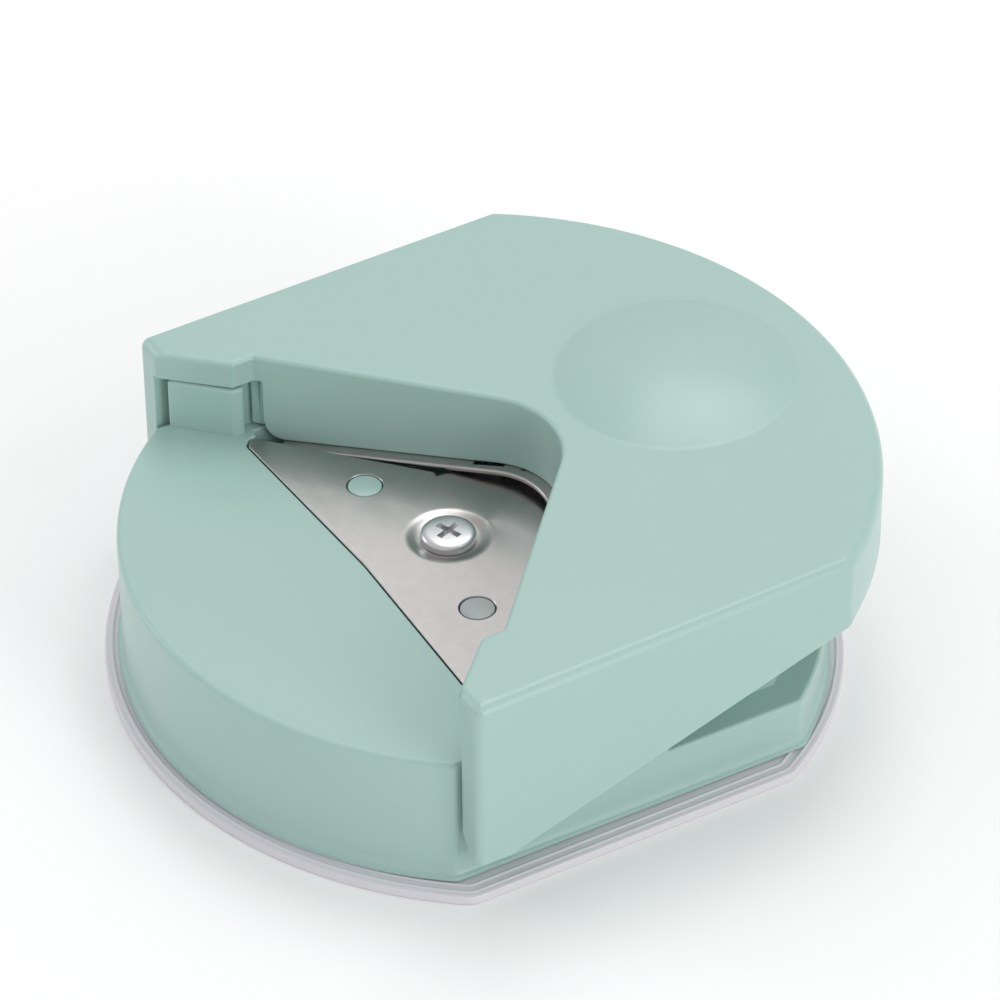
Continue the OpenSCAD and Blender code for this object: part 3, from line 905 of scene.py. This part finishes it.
def make_posts():
    """The posts that carry the lever's hinge, stepped in at the front."""
    for side, name in ((-1, "hinge_post_left"), (1, "hinge_post_right")):
        sh = Shell()
        segs, radii = polygon(POST, side)
        rings = [sh.ring(outline(segs, radii)[0], POST_FOOT)]
        for share, drop in reversed(quarter(5)):
            rings.append(sh.ring(outline(segs, radii, POST_EDGE * share)[0], POST_TOP - POST_EDGE * drop))
        sh.stack(rings)
        sh.fill([rings[-1]], POST_TOP)
        sh.fill([rings[0]], POST_FOOT)
        sh.done(name, mint, "base", (), "mint_plastic")


# ---------------------------------------------------------------- plates and screw
CUT_X, CUT_REAR, CUT_TIP, CUT_R = 3.0, 11.4, 8.8, 4.0
HOLE_R = 1.55
DIE_EDGE, DIE_BORDER = 0.09, 0.35
DISH_R, DISH_SIDE, DISH_DEPTH = 3.75, 1.25, 0.32


def cutter_hole(gap):
    """The cutter's hole: a rounded corner at the front, square at the rear."""
    half, rear, r = CUT_X + gap, CUT_REAR + gap, CUT_R - gap
    cy = CUT_TIP - CUT_R * sqrt(2)
    reach = r / sqrt(2)
    side_y = cy + reach - (half - reach)
    points = [(half, rear), (-half, rear), (-half, side_y)]
    for k in range(13):
        a = radians(135 - 7.5 * k)
        points.append((r * cos(a), cy + r * sin(a)))
    points.append((half, side_y))
    return [Vector(p) for p in points]


def die_z(x, y):
    """Top of the die plate, with a shallow dish round the screw."""
    t = min(max((DISH_R - hypot(x, y - SCREW_Y)) / DISH_SIDE, 0), 1)
    return TABLE - DISH_DEPTH * t * t * (3 - 2 * t)


def dish_points():
    """Points that carry the dish, close together on its side."""
    close = [2.2 + 0.2 * k for k in range(5)] + [3.15 + 0.15 * k for k in range(8)] + [4.5]
    spots = []
    for radii, n in (((0.6, 1.2, 1.8), 24), (close, 72)):
        for r in radii:
            spots += [(v.x, v.y) for v in circle(0, SCREW_Y, r, n)]
    return spots


def make_die():
    sh = Shell()
    bottom = TABLE - DIE_T
    rings = [sh.ring(outline(DIE, DIE_BENDS)[0], bottom)]
    for share, drop in reversed(quarter(3)):
        rings.append(sh.ring(outline(DIE, DIE_BENDS, DIE_EDGE * share)[0], TABLE - DIE_EDGE * drop))
    rings.append(sh.ring(outline(DIE, DIE_BENDS, DIE_BORDER)[0], TABLE))
    holes = []
    for x in (-PEG_X, PEG_X):
        wide, hole = circle(x, PEG_Y, HOLE_R * 1.04), circle(x, PEG_Y, HOLE_R)
        holes.append([sh.ring(wide, TABLE), sh.ring(hole, TABLE - 0.06), sh.ring(hole, bottom)])
    holes.append([sh.ring(cutter_hole(0.04), z) for z in (TABLE, bottom)])
    for wall in (rings, *holes):
        sh.stack(wall)
    sh.fill([rings[-1]] + [h[0] for h in holes], die_z, points=dish_points())
    sh.fill([rings[0]] + [h[-1] for h in holes], bottom)
    sh.done("die_sheet", plate_steel, "base", ["die_plate"], "plate_steel", merge=1e-4)


def carve(o, low, z_low, high, z_high):
    """Cut a four-sided block, given by its lower and upper corners, out of a mesh."""
    block = Shell()
    a, b = block.ring(low, z_low), block.ring(high, z_high)
    block.strip(a, b)
    block.face(*reversed(a))
    block.face(*b)
    bmesh.ops.recalc_face_normals(block.bm, faces=block.bm.faces)
    bmesh.ops.scale(block.bm, vec=(MM, MM, MM), verts=block.bm.verts)
    mesh = bpy.data.meshes.new("tool")
    block.bm.to_mesh(mesh)
    block.bm.free()
    tool = bpy.data.objects.new("tool", mesh)
    bpy.context.scene.collection.objects.link(tool)
    cut_out = o.modifiers.new("cut", "BOOLEAN")
    cut_out.operation, cut_out.object, cut_out.solver = "DIFFERENCE", tool, "EXACT"
    bpy.context.view_layer.update()
    done = bpy.data.meshes.new_from_object(o.evaluated_get(bpy.context.evaluated_depsgraph_get()))
    o.modifiers.clear()
    o.data = done
    bpy.data.objects.remove(tool)


SHANK_R, SHANK_END = 1.0, TABLE - 5.2
HEAD_LOW = TABLE - 0.31


def cross_arm(x, y, turn):
    """Corners of one arm of the cross, x by y either side of the screw's middle."""
    c, s = cos(radians(turn)), sin(radians(turn))
    corners = ((-x, -y), (x, -y), (x, y), (-x, y))
    return [Vector((u * c - v * s, SCREW_Y + u * s + v * c)) for u, v in corners]


def make_screw():
    """The die plate's screw: a domed head with a cross cut in it."""
    sh = Shell()
    profile = [
        (SHANK_R, SHANK_END), (SHANK_R, HEAD_LOW), (2.30, HEAD_LOW), (2.35, HEAD_LOW + 0.05),
        (2.36, TABLE + 0.15), (2.32, TABLE + 0.30), (2.22, TABLE + 0.42), (2.05, TABLE + 0.50),
        (1.8, TABLE + 0.545), (1.4, TABLE + 0.57), (0.9, TABLE + 0.585),
    ]
    rings = [sh.ring(circle(0, SCREW_Y, r, 64), z) for r, z in profile]
    sh.stack(rings)
    sh.fan(rings[0], 0, SCREW_Y, SHANK_END)
    sh.fan(rings[-1], 0, SCREW_Y, TABLE + 0.59)
    o = sh.done("screw_head", screw_zinc, "base", ["die_screw"], "screw_steel", weighted=False)
    for turn in (20, 110):
        carve(o, cross_arm(0.7, 0.2, turn), TABLE - 0.1, cross_arm(1.35, 0.3, turn), TABLE + 0.8)


UPPER_LIP = 0.9
UPPER_REAR = 10.6
UPPER_EDGE = 0.2
STOP_X, STOP_Y = 5.5, 3.3
STOP_HALF, STOP_FRONT, STOP_BACK = 1.38, 0.02, 1.4


def upper_outline():
    """The upper plate, which shows as a lip in front of the notch's wall."""
    r = NOTCH_R - UPPER_LIP
    apex = NOTCH_Y - UPPER_LIP / sin(HALF)
    corner = (-UPPER_X, apex - SLOPE * UPPER_X)
    left = chain([
        (-UPPER_X, UPPER_REAR, 6), (*corner, 14), (-r * cos(HALF), NOTCH_CY + r * sin(HALF), 0),
    ])
    rear = line((UPPER_X, UPPER_REAR), (-UPPER_X, UPPER_REAR), 12)
    segs = [rear] + left + [arc((0, NOTCH_CY), r, 180 - degrees(HALF), degrees(HALF), 24)] + mirrored(left)
    return segs, [1.0, 0.8, None, None, 0.8, 1.0]


def stop_hole(side):
    """Corners of the hole for one paper stop, which stands at 45 degrees."""
    block = []
    for u, v in (
        (-STOP_HALF, STOP_FRONT), (STOP_HALF, STOP_FRONT), (STOP_HALF, STOP_BACK), (-STOP_HALF, STOP_BACK),
    ):
        block.append(Vector((side * (STOP_X + (u + v) * sqrt(0.5)), STOP_Y + (v - u) * sqrt(0.5))))
    return block if side > 0 else block[::-1]


def upper_top(x, y):
    return plate_z(y) + PLATE_T


def upper_under(x, y):
    return plate_z(y)


def make_upper():
    sh = Shell()
    segs, radii = upper_outline()
    rings = []
    for share, drop in quarter(5):
        points = outline(segs, radii, UPPER_EDGE * share)[0]
        rings.append(sh.ring(points, [upper_top(p.x, p.y) - UPPER_EDGE * drop for p in points]))
    for share, drop in reversed(quarter(5)):
        points = outline(segs, radii, UPPER_EDGE * share)[0]
        rings.append(sh.ring(points, [upper_under(p.x, p.y) + UPPER_EDGE * drop for p in points]))
    hole = [Vector((v.x, min(v.y, UPPER_REAR - 0.4))) for v in cutter_hole(0.3)]
    top, under = sh.ring(hole, upper_top), sh.ring(hole, upper_under)
    sh.stack(rings)
    sh.stack([top, under])
    sh.fill([rings[0], top], upper_top)
    sh.fill([rings[-1], under], upper_under)
    o = sh.done("upper_sheet", plate_steel, "lever", ["upper_plate"], "plate_steel", weighted=False)
    for side in (-1, 1):
        carve(o, stop_hole(side), TABLE - 1, stop_hole(side), TABLE + 2.5)


# ---------------------------------------------------------------- chip tray
TRAY_X = 28.4
TRAY_FRONT_R, TRAY_FRONT_CY = 34.9, 2.68
TRAY_BACK_R, TRAY_BACK_CY = 32.0, -2.2
tray_front_a = degrees(acos(TRAY_X / TRAY_FRONT_R))
tray_back_a = degrees(acos(TRAY_X / TRAY_BACK_R))
TRAY_FRONT_END = TRAY_FRONT_CY - TRAY_FRONT_R * sin(radians(tray_front_a))
TRAY_BACK_END = TRAY_BACK_CY + TRAY_BACK_R * sin(radians(tray_back_a))
TRAY_BEND = 2.2
FLANGE_Z = 0.94
RIDGES = (0.42, 1.22)
TRAY = [
    line((TRAY_X, TRAY_FRONT_END), (TRAY_X, TRAY_BACK_END), 12),
    arc((0, TRAY_BACK_CY), TRAY_BACK_R, tray_back_a, 180 - tray_back_a, 72),
    line((-TRAY_X, TRAY_BACK_END), (-TRAY_X, TRAY_FRONT_END), 12),
    arc((0, TRAY_FRONT_CY), TRAY_FRONT_R, 180 + tray_front_a, 360 - tray_front_a, 84),
]


def make_tray():
    """The tray's flange, which shows all round the base, with two low ridges along its edge."""
    sh = Shell()
    profile = [(0.20, 0.0), (0.06, 0.05), (0.0, 0.18), (0.0, 0.72), (0.05, 0.86), (0.20, FLANGE_Z - 0.01)]
    for d in RIDGES:
        profile += [(d, FLANGE_Z), (d + 0.08, FLANGE_Z + 0.07), (d + 0.18, FLANGE_Z + 0.09)]
        profile += [(d + 0.28, FLANGE_Z + 0.07), (d + 0.36, FLANGE_Z)]
    profile += [(4.2, FLANGE_Z - 0.01), (4.4, FLANGE_Z - 0.04)]
    rings = [sh.ring(outline(TRAY, [TRAY_BEND] * 4, d)[0], z) for d, z in profile]
    sh.stack(rings)
    sh.fill([rings[0]], 0.0)
    sh.fill([rings[-1]], FLANGE_Z - 0.04)
    sh.done("tray_flange", clear, "tray", ["chip_tray"], "clear_plastic")


make_lever()
make_fins()
make_base()
make_seat()
make_pegs()
make_posts()
make_die()
make_screw()
make_upper()
make_tray()

# ---------------------------------------------------------------- camera, floor and light


def set_camera():
    """A long lens, placed so that the rest view matches the photo."""
    az, el, roll = radians(60.32), radians(37.647), radians(-0.542)
    back = Vector((sin(az) * cos(el), -cos(az) * cos(el), sin(el)))
    right = Vector((cos(az), sin(az), 0))
    up = back.cross(right)
    r = right * cos(roll) + up * sin(roll)
    u = -right * sin(roll) + up * cos(roll)
    cam = bpy.data.cameras.new("camera")
    cam.lens, cam.sensor_width = 188.5, 36
    o = bpy.data.objects.new("camera", cam)
    m = Matrix((r, u, back)).transposed().to_4x4()
    m.translation = Vector((0.3005, -0.1700, 0.2816))
    o.matrix_world = m
    bpy.context.scene.collection.objects.link(o)
    bpy.context.scene.camera = o


def area(name, loc, size, power, color=(1, 1, 1)):
    """A rectangular lamp that points at the part."""
    light = bpy.data.lights.new(name, "AREA")
    light.shape, light.size, light.size_y = "RECTANGLE", size[0], size[1]
    light.energy, light.color = power, color
    o = bpy.data.objects.new(name, light)
    turn = (Vector((0, 0, 0.01)) - Vector(loc)).to_track_quat("-Z", "Y")
    o.matrix_world = Matrix.Translation(loc) @ turn.to_matrix().to_4x4()
    bpy.context.scene.collection.objects.link(o)


def set_stage():
    mesh = bpy.data.meshes.new("floor")
    bm = bmesh.new()
    bmesh.ops.create_grid(bm, x_segments=8, y_segments=8, size=1.5)
    bm.to_mesh(mesh)
    bm.free()
    floor = bpy.data.objects.new("floor", mesh)
    bpy.context.scene.collection.objects.link(floor)
    mesh.materials.append(shader("floor_white", (0.96, 0.96, 0.96), 0.7)[0])
    world = bpy.data.worlds.new("studio")
    bpy.context.scene.world = world
    world.use_nodes = True
    sky = world.node_tree.nodes["Background"]
    sky.inputs["Color"].default_value = (1, 1, 1, 1)
    sky.inputs["Strength"].default_value = 0.68
    area("key", (-0.27, 0.26, 0.78), (0.45, 0.45), 1.9)
    area("panel", (-0.62, 0.35, 0.55), (0.5, 0.4), 0.2)
    area("right", (0.65, 0.12, 0.24), (0.25, 0.3), 1.2)
    area("strip", (0.50, 0.33, 0.56), (0.35, 0.3), 0.45)
    area("left", (-0.55, -0.45, 0.25), (0.25, 0.3), 0.65, (0.90, 0.95, 1.0))
    bpy.context.scene.view_settings.view_transform = "Standard"


set_camera()
set_stage()
